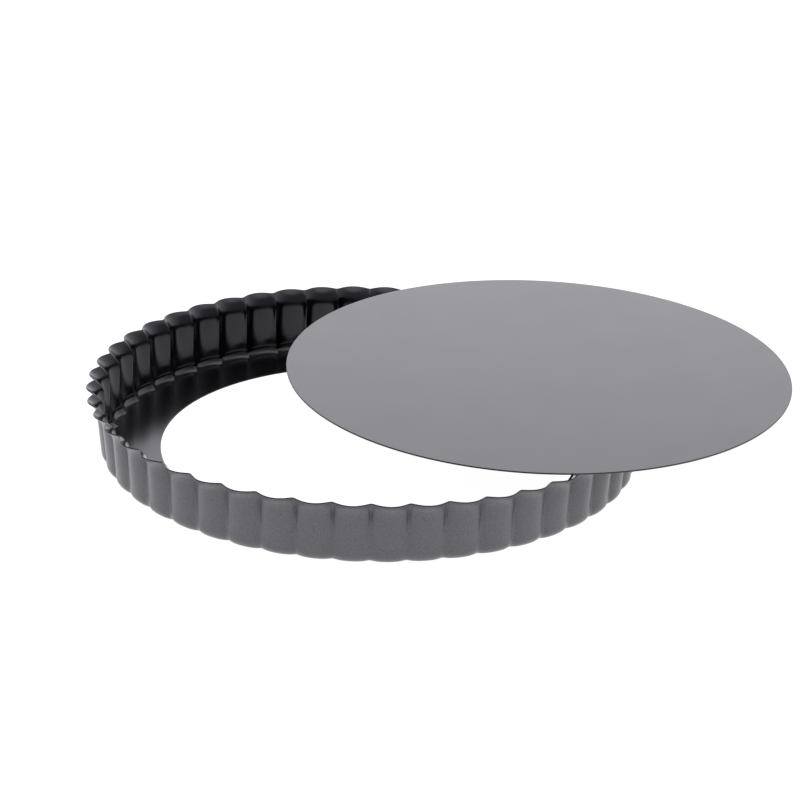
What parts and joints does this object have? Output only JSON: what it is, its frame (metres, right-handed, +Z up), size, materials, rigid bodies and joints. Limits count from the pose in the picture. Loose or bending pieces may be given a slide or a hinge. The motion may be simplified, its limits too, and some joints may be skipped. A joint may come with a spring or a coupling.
{
  "type": "tart pan",
  "caption": "Round fluted tart pan in coated steel: a ring with an outward-flared scalloped lip and a flat foot ledge, and a loose flat base lying across the rim.",
  "frame": {"origin": "on the surface the pan stands on, midway between the ring's far side and the base's far edge", "axes": "+Z up, +X from the ring's centre towards the loose base's centre, +Y across"},
  "size_m": [0.3554, 0.2798, 0.0339],
  "materials": {
    "ring_coating": "satin dark grey non-stick coating on steel",
    "base_coating": "satin dark grey non-stick coating on steel"
  },
  "bodies": {
    "ring": {"fluted_ring": "ring_coating"},
    "base": {"loose_base": "base_coating"}
  },
  "joints": [
    {"name": "base_lift", "type": "slide", "parent": "ring", "child": "base", "axis": [0, 0, 1], "range_m": [0, 0.12]}
  ]
}
